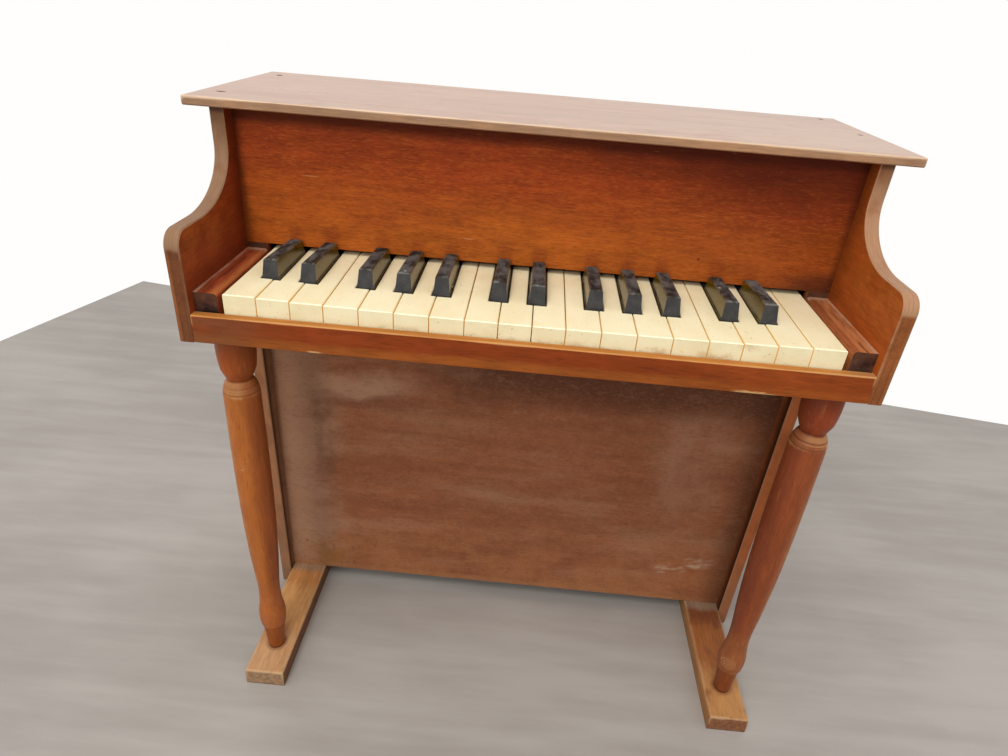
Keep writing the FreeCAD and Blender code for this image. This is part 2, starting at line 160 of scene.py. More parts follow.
floor_corners = ((-1.78, -3.0), (3.0, -3.0), (-0.743, 0.7), (3.0, 0.077))
bpy.ops.object.select_all(action="DESELECT")
bpy.ops.mesh.primitive_plane_add(size=1)
floor = bpy.context.object
floor.name = "floor"
for corner, place in zip(floor.data.vertices, floor_corners):
    corner.co = (*place, 0)

dull_paint, pale_paint, brush_depth = (0.325, 0.297, 0.272), (0.425, 0.395, 0.365), 0.0008
floor_paint, shader, place, _ = start_finish("floor_paint", 0.3)
cloud = place.noise((3.0, 5.0, 1.0), 5)
streak = place.noise((6.0, 45.0, 1.0), 4)
colour = (cloud * 0.6 + streak * 0.4).between(0.35, 0.68).tint(dull_paint, pale_paint)
colour.to(shader, "Base Color")
(0.42 + streak * 0.3).to(shader, "Roughness")
streak.press(shader, 0.15, brush_depth)
floor.data.materials.append(floor_paint)

room_white, room_light, shown_light = (1.0, 0.99, 0.975, 1), 0.8, 1.0
room = bpy.data.worlds.new("white_room")
scene.world = room
room.use_nodes = True
sky = room.node_tree.nodes["Background"]
sky.inputs["Color"].default_value = room_white
ray = room.node_tree.nodes.new("ShaderNodeLightPath").outputs
seen, mirrored, through = [Shade(room.node_tree, ray[kind]) for kind in (
    "Is Camera Ray", "Is Glossy Ray", "Is Transmission Ray")]
(room_light + (shown_light - room_light) * seen.most(mirrored).most(through)).to(sky, "Strength")

lamp_aim, lamp_white = Vector((0, 0, 0.33)), (1.0, 0.97, 0.93)
for name, stand, size, power in (("front_lamp", (-0.45, -1.6, 1.12), 0.35, 8.0),
                                 ("ceiling_lamp", (-0.3, -0.9, 2.0), 1.2, 16.0)):
    bpy.ops.object.light_add(type="AREA", location=stand)
    lamp = bpy.context.object
    lamp.name = name
    lamp.data.shape = "DISK"
    lamp.data.size = size
    lamp.data.energy = power
    lamp.data.color = lamp_white
    lamp.rotation_euler = (lamp_aim - lamp.location).to_track_quat("-Z", "Y").to_euler()

eye = (-0.00674, -0.48425, 0.52691)
eye_turn, eye_tip, eye_roll = math.radians(1.2090), math.radians(60.5850), math.radians(4.6756)
bpy.ops.object.camera_add()
camera = bpy.context.object
camera.data.sensor_width = 36
camera.data.lens = 24.052
camera.matrix_world = (Matrix.Translation(eye) @ Matrix.Rotation(eye_turn, 4, "Z")
                       @ Matrix.Rotation(eye_tip, 4, "X") @ Matrix.Rotation(eye_roll, 4, "Z"))
scene.camera = camera

# Runner feet
# Two planed bars of pale hardwood with a thin orange stain lie front to back. Each holds a turned leg
# on a round tenon near its front, and is glued along the foot of a side board.
foot_low, foot_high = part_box("right_foot")
leg_low, leg_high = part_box("right_leg")
leg_reach, leg_line = (foot_low.x + foot_high.x) / 2, (leg_low.y + leg_high.y) / 2       # a leg's axis
# Places in metres, each the start and the end of a change
toe_end, rear_start, dust_start = (-0.094, -0.062), (-0.03, -0.014), (-0.008, 0.0)
pin_ring = (0.00011, 0.00005)                 # squares of two distances from a leg's axis
foot_arris, arris_height, floor_line = (0.0024, 0.0006), (0.004, 0.013), (0.0022, 0.0)
foot_dust, pin_shadow_paint = (0.29, 0.2, 0.135), (0.1, 0.035, 0.016)
foot_bare, floor_edge_dark = (0.56, 0.37, 0.21), (0.12, 0.085, 0.06)


def dim(colour, share):
    return tuple(part * share for part in colour)


def wood(place, along, seed):
    """Wood with its grain along axis 0, 1 or 2: a tone from 0 to 1, the open pores and the relief."""
    def stretch(length, width):
        return tuple(length if axis == along else width for axis in range(3))
    spot = place.node("VectorMath", {"operation": "ADD"}, {0: place, 1: (seed, 0.7 * seed, 1.3 * seed)})
    cloud = spot.noise(stretch(5.0, 14.0), 4)
    bands = spot.noise(stretch(2.4, 75.0), 3)
    mottle = spot.noise(stretch(35.0, 110.0), 4, 0.6)
    fleck = spot.noise(stretch(70.0, 620.0), 3, 0.6)
    pores = spot.noise(stretch(90.0, 1500.0), 1).between(0.6, 0.74)
    tone = (cloud * 0.28 + bands * 0.22 + mottle * 0.24 + fleck * 0.26).between(0.37, 0.64)
    return tone, pores, fleck * 0.3 - pores * 0.6


def stain(tone, colour, spread=0.22):
    """A stain that takes unevenly, from darker to lighter than its colour."""
    return tone.tint(dim(colour, 1 - spread), dim(colour, 1 + spread))


def arris(place, low, high):
    """How far a place on a box is from the nearest edge of that box, in metres."""
    gaps = []
    for part, near, far in zip(place.apart(), low, high):
        gaps.append((far - near) / 2 - abs(part - (near + far) / 2))
    a, b, c = gaps
    return a.least(b).most(a.most(b).least(c))


def square_off(across, up):
    """The square of the distance from where both are 0."""
    return across * across + up * up


def finish_wood(shader, colour, relief, rough, depth=0.00022):
    colour.to(shader, "Base Color")
    rough.to(shader, "Roughness")
    relief.press(shader, 0.5, depth)


def dress(name, finish):
    """Gives a CAD piece its finish."""
    for place in nodes[name].material_slots:
        place.material = finish


for name, seed, side, toe, middle, rear, flank, end in (
        ("left_foot", 3.1, -1, (0.52, 0.285, 0.135), (0.55, 0.275, 0.1), (0.5, 0.2, 0.062),
         (0.165, 0.068, 0.028), (0.31, 0.185, 0.1)),
        ("right_foot", 5.7, 1, (0.47, 0.225, 0.078), (0.28, 0.095, 0.028), (0.15, 0.045, 0.018),
         (0.37, 0.17, 0.055), (0.225, 0.09, 0.04))):
    foot_stain, shader, place, facing = start_finish(name + "_stain", 0.2)
    tone, pores, relief = wood(place, 1, seed)
    x, y, z = place.apart()
    _, ny, nz = facing.apart()
    smudge = place.noise((60.0, 34.0, 60.0), 5, 0.6)
    above = nz.between(0.3, 0.8)
    behind = y.frayed(smudge, 0.05).between(*toe_end)
    colour = behind.tint(stain(tone, toe, 0.14), stain(tone, middle, 0.24))
    colour = (smudge.between(0.52, 0.68) * 0.5).tint(colour, stain(tone, dim(rear, 0.85)))
    last = y.frayed(smudge, 0.03).between(*rear_start)
    colour = (last * 0.7).tint(colour, stain(tone, rear))
    dusty = y.frayed(smudge, 0.012).between(*dust_start)
    colour = (dusty * 0.75).tint(colour, stain(tone, foot_dust))
    off_pin = square_off(x - side * leg_reach, y - leg_line)
    # Painted shadow: a dark ring on the foot round the foot of the leg.
    colour = (off_pin.between(*pin_ring) * 0.5).tint(colour, pin_shadow_paint)
    # The flank colours hold painted light: the left foot's flank is set dark as if shaded, the right foot's
    # golden as if lit from the left.
    colour = above.tint(stain(tone, flank, 0.28), colour)
    sawn = (-ny).between(0.5, 0.85)
    ends = place.noise((300.0, 60.0, 420.0), 3)
    colour = sawn.tint(colour, ends.between(0.35, 0.68).tint(dim(end, 0.78), dim(end, 1.18)))
    worn = arris(place, *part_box(name)).frayed(smudge, 0.006).between(*foot_arris)
    colour = (worn * (0.3 + 0.2 * sawn) * z.between(*arris_height)).tint(colour, foot_bare)
    colour = (pores * 0.35 * (1 - sawn)).tint(colour, dim(flank, 0.5))
    # Darker along the foot's bottom edge at the floor.
    colour = (z.between(*floor_line) * 0.8).tint(colour, floor_edge_dark)
    finish_wood(shader, colour, relief, 0.4 + smudge * 0.3)
    dress(name, foot_stain)

# Turned legs
# Each front leg is one hardwood turning: pin, bulb, ankle, long shaft, shoulder and cup, with two lines
# cut round the shoulder by a chisel point. Its ends are glued into the foot and the bed.
mm_per_metre = 1000
pin_and_lip = [(15.6, 6.7), (40.0, 8.65), (42.7, 8.95), (43.1, 9.5), (43.7, 9.85)]   # heights and radii, mm
bulb_bow = ((43.1, 9.71), (54.7, 10.9), (66.1, 9.5))
ankle_bow = ((66.1, 9.5), (81.4, 8.515), (95.7, 9.065))
calf_bow = ((95.7, 9.065), (140.1, 11.635), (186.8, 12.72))
shaft_bow = ((186.8, 12.72), (229.7, 12.85), (272.5, 12.51))
shoulder = [(270.0, 12.55), (275.6, 12.52), (276.2, 12.4), (276.6, 12.18), (277.0, 12.2), (277.6, 12.26),
            (279.2, 11.92), (280.6, 11.5), (281.0, 11.2), (281.4, 11.0), (281.9, 10.98), (283.4, 10.36),
            (285.0, 9.45), (286.1, 8.65), (286.5, 8.4), (286.9, 8.6)]
cup_foot_bow = ((286.5, 8.4), (290.2, 10.15), (294.5, 11.86))
cup_bow = ((294.5, 11.86), (307.6, 13.1), (321.4, 12.44))


def bowed(places, count):
    """Even steps up the parabola through three places, without the lowest one."""
    (foot, foot_radius), (middle, middle_radius), (head, head_radius) = places
    slope = (middle_radius - foot_radius) / (middle - foot)
    bend = ((head_radius - middle_radius) / (head - middle) - slope) / (head - foot)
    steps = []
    for number in range(1, count + 1):
        height = foot + (head - foot) * number / count
        steps.append((height, foot_radius + (height - foot) * (slope + bend * (height - middle))))
    return steps


leg_turning = (pin_and_lip + bowed(bulb_bow, 8) + bowed(ankle_bow, 7) + bowed(calf_bow, 8)
               + bowed(shaft_bow, 6)[:-1] + shoulder + bowed(cup_foot_bow, 5) + bowed(cup_bow, 7))


def turned(name, stations, axis, sides):
    """A turning: a circle drawn up its axis from station to station and closed at both ends."""
    level, reach = stations[0]
    bpy.ops.object.select_all(action="DESELECT")
    bpy.ops.mesh.primitive_circle_add(vertices=sides, radius=reach / mm_per_metre, fill_type="NGON",
                                      location=(*axis, level / mm_per_metre))
    made = bpy.context.object
    made.name = name
    bpy.ops.object.transform_apply(location=True, rotation=False, scale=False)
    bpy.ops.object.mode_set(mode="EDIT")
    for height, radius in stations[1:]:
        rise = (height - level) / mm_per_metre
        bpy.ops.mesh.extrude_region_move(TRANSFORM_OT_translate={"value": (0, 0, rise)})
        share = radius / reach
        bpy.ops.transform.resize(value=(share, share, 1), center_override=(*axis, height / mm_per_metre))
        level, reach = height, radius
    bpy.ops.mesh.select_all(action="SELECT")
    bpy.ops.mesh.normals_make_consistent(inside=False)
    bpy.ops.object.mode_set(mode="OBJECT")
    bpy.ops.object.shade_smooth_by_angle(angle=math.radians(40))
    return made


def copied(piece, name, shift):
    """A copy of a piece, with its own mesh, moved by shift."""
    made = piece.copy()
    made.data = piece.data.copy()
    made.name = name
    made.data.transform(Matrix.Translation(shift))
    bpy.context.collection.objects.link(made)
    return made


# Heights in metres, each the start and the end of a change, or a middle and its reach
bulb_top, cup_start, cup_shade = (0.1, 0.07), (0.2855, 0.2875), (0.3, 0.316)
bare_from, bare_to = (0.2735, 0.2762), (0.2868, 0.2845)
shoulder_edge, neck = (0.2756, 0.0018), (0.2866, 0.0013)
lower_cut, upper_cut = (0.2767, 0.0006), (0.2814, 0.0006)
lip_edge, lip_shade = (0.0445, 0.0011), (0.0428, 0.0007)
pin_head, pin_foot, scuff_band = (0.043, 0.0425), (0.0178, 0.016), (0.22, 0.011)
knot_aside, knot_height, knot_edge, knot_rings = 0.005, 0.0555, (0.0075, 0.005), 4200.0
painted_lit_colour, chipped_wood = (0.4, 0.155, 0.042), (0.6, 0.37, 0.18)
knot_wood, scuffed_wood = (0.5, 0.27, 0.12), (0.6, 0.34, 0.16)
left_leg = turned("left_leg_turning", leg_turning, (-leg_reach, leg_line), 56)
right_leg = copied(left_leg, "right_leg_turning", (2 * leg_reach, 0, 0))
# The left leg's colours are set lighter than the right leg's: partly the wood's own tone, partly painted
# light from the left.
for leg, node, seed, side, shaft, shaded, bulb, cup, ring, lined in (
        (left_leg, "left_leg", 1.3, -1, (0.35, 0.103, 0.0185), (0.17, 0.028, 0.009), (0.34, 0.096, 0.022),
         (0.3, 0.064, 0.0095), (0.34, 0.165, 0.066), 0.3),
        (right_leg, "right_leg", 8.2, 1, (0.245, 0.058, 0.016), (0.13, 0.024, 0.0095), (0.265, 0.086, 0.026),
         (0.235, 0.041, 0.0105), (0.38, 0.185, 0.072), 0.65)):
    leg_varnish, shader, place, facing = start_finish(node + "_varnish", 0.22)
    x, _, z = place.apart()
    nx, ny, _ = facing.apart()
    on_left, on_right = max(-side, 0), max(side, 0)
    tone, pores, relief = wood(place, 2, seed)
    smudge = place.noise((60.0, 60.0, 25.0), 5, 0.6)
    rings = place.noise((2.0, 2.0, 900.0), 2)
    colour = stain(tone, shaft, 0.2)
    # Painted light and shade: each leg is painted lighter on its side away from the middle and darker on its
    # side towards the middle, and wear is painted fainter on that shaded side.
    lit_side = (nx * side).between(0.25, 0.8)
    colour = (lit_side * smudge.between(0.35, 0.6) * 0.75).tint(colour, stain(tone, painted_lit_colour))
    inner = (nx * -side).between(0.15, 0.8)
    colour = (inner * 0.52).tint(colour, stain(tone, shaded))
    colour = (z.between(*bulb_top) * 0.8).tint(colour, stain(tone, bulb))
    colour = z.between(*cup_start).tint(colour, stain(tone, cup))
    colour = (inner * z.between(*cup_start) * 0.5).tint(colour, stain(tone, dim(cup, 0.5)))
    # Painted shadow of the key bed on the top of the cup.
    colour = (z.between(*cup_shade) * 0.55).tint(colour, dim(cup, 0.45))
    colour = (smudge.between(0.52, 0.7) * 0.32).tint(colour, dim(cup, 0.7))
    colour = (pores * 0.35).tint(colour, dim(cup, 0.4))
    bare = z.frayed(smudge, 0.008).between(*bare_from) * z.between(*bare_to)
    bare = bare * (smudge * 0.8 + rings * 0.5).between(0.42, 0.75) * (1 - inner * 0.6)
    colour = (bare * 0.8).tint(colour, stain(rings, ring, 0.3))
    rubbed = z.frayed(smudge, 0.006).near(*shoulder_edge) * smudge.between(0.4, 0.58)
    colour = (rubbed * 0.7 * (1 - inner * 0.6)).tint(colour, dim(ring, 1.5))
    cut = z.near(*lower_cut).most(z.near(*upper_cut))
    colour = (cut * lined).tint(colour, dim(cup, 0.35))
    colour = (z.near(*neck) * 0.6).tint(colour, dim(cup, 0.35))
    lip = z.near(*lip_edge) * smudge.between(0.35, 0.55)
    colour = (lip * 0.5).tint(colour, dim(ring, 1.1))
    # Painted shade in the crease under the lip.
    colour = (z.near(*lip_shade) * 0.7).tint(colour, dim(cup, 0.3))
    chips = place.noise((210.0, 210.0, 75.0), 3, 0.65)
    rim = (nx * side).between(0.5, 0.9) * (0.35 + 0.65 * on_right)
    colour = (chips.between(0.615, 0.66) * (0.05 + rim * 0.8)).tint(colour, chipped_wood)
    scratch = place.noise((700.0, 700.0, 45.0), 2).between(0.67, 0.74)
    colour = (scratch * 0.3).tint(colour, dim(ring, 1.1))
    off_knot = square_off(x - side * leg_reach + knot_aside, z - knot_height).root()
    whorl = (off_knot * knot_rings + smudge * 9.0).wave().between(0.2, 0.9)
    knot = whorl * off_knot.between(*knot_edge) * (-ny).between(0.1, 0.5) * (0.12 + 0.38 * on_right)
    colour = knot.tint(colour, knot_wood)
    scuffs = place.noise((160.0, 160.0, 700.0), 3).between(0.56, 0.7)
    scuffs = scuffs * z.near(*scuff_band) * nx.near(-0.05, 0.45)
    colour = (scuffs * 0.4 * on_left).tint(colour, scuffed_wood)
    # The pin is painted darker: partly its own stain, partly painted shade under the bulb.
    colour = (z.between(*pin_head) * 0.55).tint(colour, stain(tone, dim(cup, 0.62)))
    # It is darkest, painted shade, where it enters the foot.
    colour = z.between(*pin_foot).tint(colour, dim(cup, 0.2))
    finish_wood(shader, colour, relief + rings * 0.25, 0.3 + smudge * 0.25 + bare * 0.2)
    leg.data.materials.append(leg_varnish)
    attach(leg, "case")
    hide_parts(node)

# Side boards
# Each side is one board from the floor to the lid, sawn to shape with an arm, a nose and a cove,
# stained and varnished on its faces. The sawn edges show its plies and are rubbed pale by hands.
side_low, side_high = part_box("right_side")
board_inner, board_outer = side_low.x, side_high.x
nose_line, nose_fade = 0.3815, 0.0018
lit_front, lit_height = (-0.015, -0.08), (0.355, 0.38)
corner_back, corner_rise = (-0.036, -0.016), (0.33, 0.345)
knee_front, knee_lean = 0.004, 0.0285           # the knee panel's line on the board
bed_line, strip_top, strip_foot = (0.322, 0.32), (0.323, 0.318), (0.12, 0.03)
cove_top, edge_top, pale_height = (0.43, 0.452), (0.4465, 0.4525), (0.326, 0.345)
rub_rise, rub_start = (0.35, 0.39), (0.336, 0.346)
outside, unlit_wood, edge_shadow = (0.3, 0.068, 0.016), (0.03, 0.012, 0.006), (0.03, 0.012, 0.007)
outer_ply, glue_seam, strip_dust = (0.27, 0.092, 0.026), (0.1, 0.034, 0.015), (0.23, 0.132, 0.073)
# Painted light from the left: the left board's cheek and sawn-edge colours are set darker than the right
# board's, and the warm colours paint a pool of light on each cheek above the arm.
for name, seed, side, unlit_reach, cheek, warm, edge, front, strip in (
        ("left_side", 2.2, -1, 0.009, (0.255, 0.042, 0.0095), (0.38, 0.1, 0.017), (0.25, 0.138, 0.076),
         (0.15, 0.05, 0.019), (0.31, 0.137, 0.064)),
        ("right_side", 6.4, 1, 0.016, (0.38, 0.085, 0.013), (0.46, 0.135, 0.022), (0.38, 0.205, 0.112),
         (0.235, 0.075, 0.022), (0.35, 0.1, 0.03))):
    side_varnish, shader, place, facing = start_finish(name + "_varnish", 0.13)
    x, y, z = place.apart()
    nx, _, _ = facing.apart()
    tone, pores, relief = wood(place, 1, seed)
    smudge = place.noise((40.0, 40.0, 40.0), 5, 0.6)
    face = abs(nx).between(0.82, 0.95)
    inward = (nx * -side).between(0.5, 0.9)
    outward = (nx * side).between(0.3, 0.7)
    colour = outward.tint(stain(tone, cheek, 0.28), stain(tone, outside, 0.28))
    lit = smudge.between(0.38, 0.62) * y.between(*lit_front) * z.between(*lit_height)
    colour = (lit * 0.65).tint(colour, stain(tone, warm))
    # Painted shade in the inner corner where the cheek meets the fallboard.
    corner = y.between(*corner_back) * (0.5 + smudge * 0.7) * z.between(*corner_rise) * inward
    colour = (corner * 0.6).tint(colour, dim(cheek, 0.4))
    colour = (pores * 0.3).tint(colour, dim(cheek, 0.35))
    behind = y + knee_front + z * knee_lean
    unlit = behind.between(0.0, unlit_reach).tint(unlit_wood, stain(tone, dim(strip, 0.75), 0.3))
    colour = (z.between(*bed_line) * inward).tint(colour, unlit)
    across = (abs(x) - board_inner) / (board_outer - board_inner)
    fibre = place.noise((900.0, 70.0, 70.0), 3)
    sawn = stain(fibre, edge, 0.26)
    sawn = (smudge.between(0.5, 0.72) * 0.6).tint(sawn, dim(front, 1.15))
    # Painted shadow of the lid on the top of the sawn edge, darkest in the last few millimetres.
    sawn = (z.between(*cove_top) * 0.5).tint(sawn, dim(front, 0.8))
    sawn = (z.between(*edge_top) * 0.7).tint(sawn, edge_shadow)
    plies = stain(tone, front, 0.28)
    plies = (across.near(0.86, 0.14) * 0.7).tint(plies, stain(tone, outer_ply))
    seam = across.near(0.66, 0.06).most(across.near(0.24, 0.05)) * smudge.between(0.3, 0.6)
    plies = (seam * 0.5).tint(plies, glue_seam)
    pale_line = across.between(0.16, 0.06) * smudge.between(0.35, 0.6) * z.between(*pale_height)
    plies = (pale_line * (0.45 + 0.25 * side)).tint(plies, dim(edge, 0.9))
    low_front = z.frayed(smudge, 0.008).between(nose_line + nose_fade, nose_line - nose_fade)
    sawn = low_front.tint(sawn, plies)
    low_strip = stain(fibre, strip, 0.3)
    low_strip = (smudge.between(0.45, 0.68) * 0.5).tint(low_strip, dim(strip, 0.6))
    dusty = z.between(*strip_foot) * smudge.between(0.3, 0.55)
    low_strip = (dusty * 0.5).tint(low_strip, strip_dust)
    low_strip = (across.between(0.16, 0.03) * 0.55).tint(low_strip, dim(edge, 0.85))
    outer_line = across.between(0.88, 0.95) * smudge.between(0.3, 0.5)
    low_strip = (outer_line * 0.7).tint(low_strip, dim(edge, 0.95))
    sawn = z.between(*strip_top).tint(sawn, low_strip)
    colour = face.tint(sawn, colour)
    rub = (abs(nx).between(0.35, 0.55) * abs(nx).between(0.93, 0.8)) * smudge.between(0.32, 0.6)
    rub = rub * (0.4 + 0.6 * z.frayed(smudge, 0.03).between(*rub_rise))
    colour = (rub * 0.75 * z.between(*rub_start)).tint(colour, dim(edge, 1.2))
    finish_wood(shader, colour, relief, 0.36 + smudge * 0.3)
    dress(name, side_varnish)

# Knee panel and back panel
# Two thin sheets of plywood close the case: the knee panel between the side boards under the keys,
# and the back panel, nailed on behind, which is also the sounding board. Dust has dulled the stain.
knee_red, pale_smear, dark_smear = (0.235, 0.08, 0.034), (0.305, 0.142, 0.077), (0.165, 0.047, 0.019)
low_glow, haze_dust, brink_dark = (0.34, 0.128, 0.05), (0.375, 0.21, 0.128), (0.13, 0.058, 0.03)
rim_dark, gleam_pale, scuff_pale = (0.11, 0.035, 0.016), (0.34, 0.175, 0.11), (0.52, 0.38, 0.27)
drip_dark, damp_brown, foot_pale = (0.1, 0.035, 0.014), (0.26, 0.11, 0.026), (0.34, 0.15, 0.06)
bed_shadow, right_shadow, left_shadow = (0.07, 0.022, 0.011), (0.075, 0.025, 0.012), (0.08, 0.03, 0.016)
pale_linen, dark_linen = (0.32, 0.17, 0.1), (0.09, 0.03, 0.013)
dark_mottle, pale_mottle, knee_pore = (0.1, 0.036, 0.017), (0.36, 0.19, 0.115), (0.07, 0.025, 0.012)
low_part, foot_edge, bed_shade = (0.12, 0.03), (0.024, 0.0185), (0.208, 0.252)
haze_side, bed_side = (-0.148, -0.192), (-0.13, -0.02)
arc_start, arc_slope, arc_foot, arc_head = 0.115, 0.15, (0.2165, 0.2245), (0.25, 0.232)
arc_side, brink_line, brink_foot, brink_head = (-0.065, -0.135), (-0.172, 0.013), (0.12, 0.16), (0.235, 0.2)
rim_foot, rim_head, rim_left, rim_right = (0.2, 0.212), (0.222, 0.218), (-0.185, -0.165), (-0.06, -0.1)
gleam_line, gleam_foot, gleam_head = (0.153, 0.042), (0.09, 0.15), (0.25, 0.225)
scuff_places, scuff_wide, scuff_high = ((0.157, 0.0555), (0.185, 0.0665)), 0.019, 0.0095
drip_side, drip_height = (-0.09, -0.14), (0.075, 0.045)
damp_side, damp_height = (-0.14, -0.19), (0.06, 0.03)
right_edge, left_edge = (0.183, 0.213), (-0.2055, -0.213)
knee_stain, shader, place, _ = start_finish("knee_panel_stain", 0.15)
x, _, z = place.apart()
tone, pores, relief = wood(place, 0, 4.4)
smear = place.noise((5.0, 5.0, 28.0), 5)
smudge = place.noise((22.0, 22.0, 22.0), 6, 0.6)
linen = place.noise((330.0, 330.0, 560.0), 2, 0.6)
colour = stain(tone, knee_red, 0.17)
colour = (smear.between(0.48, 0.66) * 0.7).tint(colour, pale_smear)
colour = (smear.between(0.48, 0.32) * 0.55).tint(colour, dark_smear)
lower = z.between(*low_part) * smudge.between(0.35, 0.6)
colour = (lower * 0.65).tint(colour, low_glow)
fray = (smudge - 0.5) * 0.09
left_haze = (x + fray * 0.8).between(*haze_side)
arc = z - (x + arc_start) * arc_slope + fray * 0.3
crescent = arc.between(*arc_foot) * (z + fray * 0.4).between(*arc_head)
haze = left_haze.most(crescent * (x + fray * 0.6).between(*arc_side)) * (0.6 + smear * 0.6)
colour = (haze * 0.85).tint(colour, haze_dust)
brink = (x + fray * 0.15).near(*brink_line) * z.between(*brink_foot) * z.between(*brink_head)
colour = (brink * smudge.between(0.3, 0.6) * 0.55).tint(colour, brink_dark)
rim = (z + fray * 0.4).between(*rim_foot) * (z + fray * 0.4).between(*rim_head)
rim = rim * x.between(*rim_left) * x.between(*rim_right)
colour = (rim * 0.3).tint(colour, rim_dark)
streak = 0.3 + place.noise((24.0, 5.0, 9.0), 5).between(0.36, 0.7)
gleam = streak * (x + fray * 0.5).near(*gleam_line) * z.between(*gleam_foot) * z.between(*gleam_head)
colour = (gleam * 0.42).tint(colour, gleam_pale)
slant = place.node("Mapping", {}, {"Vector": place, "Rotation": (0.0, math.radians(16), 0.0)})
rubbed = slant.noise((45.0, 10.0, 170.0), 5, 0.65).between(0.4, 0.7)
for middle, height in scuff_places:
    scuffed = square_off((x - middle) / scuff_wide, (z - height) / scuff_high).between(1.0, 0.15)
    colour = (rubbed * scuffed * 0.75).tint(colour, scuff_pale)
drips = place.noise((160.0, 10.0, 70.0), 4).between(0.6, 0.7) * x.between(*drip_side)
colour = (drips * z.between(*drip_height) * 0.5).tint(colour, drip_dark)
damp = x.between(*damp_side) * z.between(*damp_height) * smudge.between(0.35, 0.6)
colour = (damp * 0.7).tint(colour, damp_brown)
colour = (z.frayed(smudge, 0.006).between(*foot_edge) * 0.45).tint(colour, foot_pale)
under_bed = (z + fray * 0.4).between(*bed_shade) * (0.1 + 0.9 * (x + fray).between(*bed_side))
colour = (under_bed * 0.8).tint(colour, bed_shadow)
colour = ((x + fray * 0.25).between(*right_edge) * 0.65).tint(colour, right_shadow)
colour = ((x + fray * 0.1).between(*left_edge) * 0.1).tint(colour, left_shadow)
colour = (linen.between(0.48, 0.8) * 0.22).tint(colour, pale_linen)
colour = (linen.between(0.48, 0.3) * 0.2).tint(colour, dark_linen)
mottle = place.noise((70.0, 70.0, 110.0), 5, 0.65)
colour = (mottle.between(0.5, 0.7) * 0.16).tint(colour, dark_mottle)
colour = (mottle.between(0.48, 0.3) * 0.14).tint(colour, pale_mottle)
colour = (pores * 0.25).tint(colour, knee_pore)
finish_wood(shader, colour, relief + linen * 0.4, 0.45 + smear * 0.3)
dress("knee_panel", knee_stain)

back_low, back_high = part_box("back_panel")
nail_count, nail_row = 9, (board_inner + board_outer) / 2
lowest_inset, highest_inset = 0.022, 0.016
first_nail = back_low.z + lowest_inset
nail_step = (back_high.z - highest_inset - first_nail) / (nail_count - 1)
rust_ring, rust_fray = (0.00002, 0.000003), 0.00002       # squares of distances from a nail
splash_height, back_arris = (0.09, 0.02), (0.002, 0.0006)
back_brown, back_faded, splashed = (0.21, 0.085, 0.036), (0.27, 0.145, 0.075), (0.25, 0.17, 0.115)
back_bare, back_pore, rust_stain = (0.42, 0.24, 0.12), (0.07, 0.026, 0.012), (0.07, 0.03, 0.015)
back_stain, shader, place, _ = start_finish("back_panel_stain", 0.2)
x, _, z = place.apart()
tone, pores, relief = wood(place, 2, 9.3)
smudge = place.noise((9.0, 9.0, 6.0), 5)
colour = stain(tone, back_brown, 0.3)
colour = (smudge.between(0.45, 0.7) * 0.5).tint(colour, back_faded)
colour = (z.between(*splash_height) * smudge.between(0.3, 0.6) * 0.6).tint(colour, splashed)
worn = arris(place, back_low, back_high).frayed(smudge, 0.006).between(*back_arris)
colour = (worn * 0.7).tint(colour, back_bare)
colour = (pores * 0.45).tint(colour, back_pore)
step = (z - first_nail) / nail_step
off_nail = square_off(abs(x) - nail_row, (step - step.rounded()) * nail_step)
rusted = off_nail.frayed(smudge, rust_fray).between(*rust_ring)
colour = (rusted * 0.6).tint(colour, rust_stain)
finish_wood(shader, colour, relief, 0.5 + smudge * 0.25)
dress("back_panel", back_stain)

bright_steel, rust_brown, rust_depth = (0.42, 0.4, 0.37), (0.17, 0.08, 0.04), 0.0001
pin_steel, shader, place, _ = start_finish("pin_steel", 0.5)
smudge = place.noise((900.0, 900.0, 900.0), 4)
rusty = smudge.between(0.46, 0.6)
rusty.tint(stain(smudge, bright_steel), rust_brown).to(shader, "Base Color")
(1 - rusty * 0.8).to(shader, "Metallic")
(0.35 + rusty * 0.4).to(shader, "Roughness")
smudge.press(shader, 0.3, rust_depth)

# Panel pins down both edges of the back, flat heads hammered home.
nail_head = ((-0.4, 1.45), (0.1, 1.6), (0.3, 1.5), (0.42, 1.1), (0.46, 0.4))     # heights and radii in mm
to_back = Matrix.Rotation(math.radians(-90), 4, "X")
nail = turned("back_nail", nail_head, (0, 0), 18)
nail.data.transform(to_back)
nail.data.materials.append(pin_steel)
for side, word in ((-1, "left"), (1, "right")):
    for count in range(nail_count):
        pin = copied(nail, f"back_nail_{word}_{count + 1:02d}",
                     (side * nail_row, back_high.y, first_nail + count * nail_step))
        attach(pin, "case")
bpy.data.objects.remove(nail)

# Three round-headed wood screws with one slot each pass through the back into the iron tone block.
screw_head = ((-0.3, 3.4), (0.2, 3.5), (0.9, 3.25), (1.5, 2.6), (1.9, 1.7), (2.05, 0.7))
blade_size, blade_height = (0.0011, 0.01, 0.002), 0.0021
screw_places = ((0.12, 20), (0.5, 75), (0.88, -35))     # shares of the block's length, turns in degrees
screw = turned("block_screw", screw_head, (0, 0), 32)
bpy.ops.object.select_all(action="DESELECT")
bpy.ops.mesh.primitive_cube_add(size=1)
blade = bpy.context.object
bpy.ops.transform.resize(value=blade_size)
blade.location.z = blade_height
bpy.ops.object.select_all(action="DESELECT")
screw.select_set(True)
bpy.context.view_layer.objects.active = screw
slot = screw.modifiers.new("slot", "BOOLEAN")
slot.operation, slot.object = "DIFFERENCE", blade
bpy.ops.object.modifier_apply(modifier="slot")
bpy.data.objects.remove(blade)
screw.data.materials.clear()
screw.data.materials.append(pin_steel)
block_low, block_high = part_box("tone_block")
block_middle = (block_low.z + block_high.z) / 2
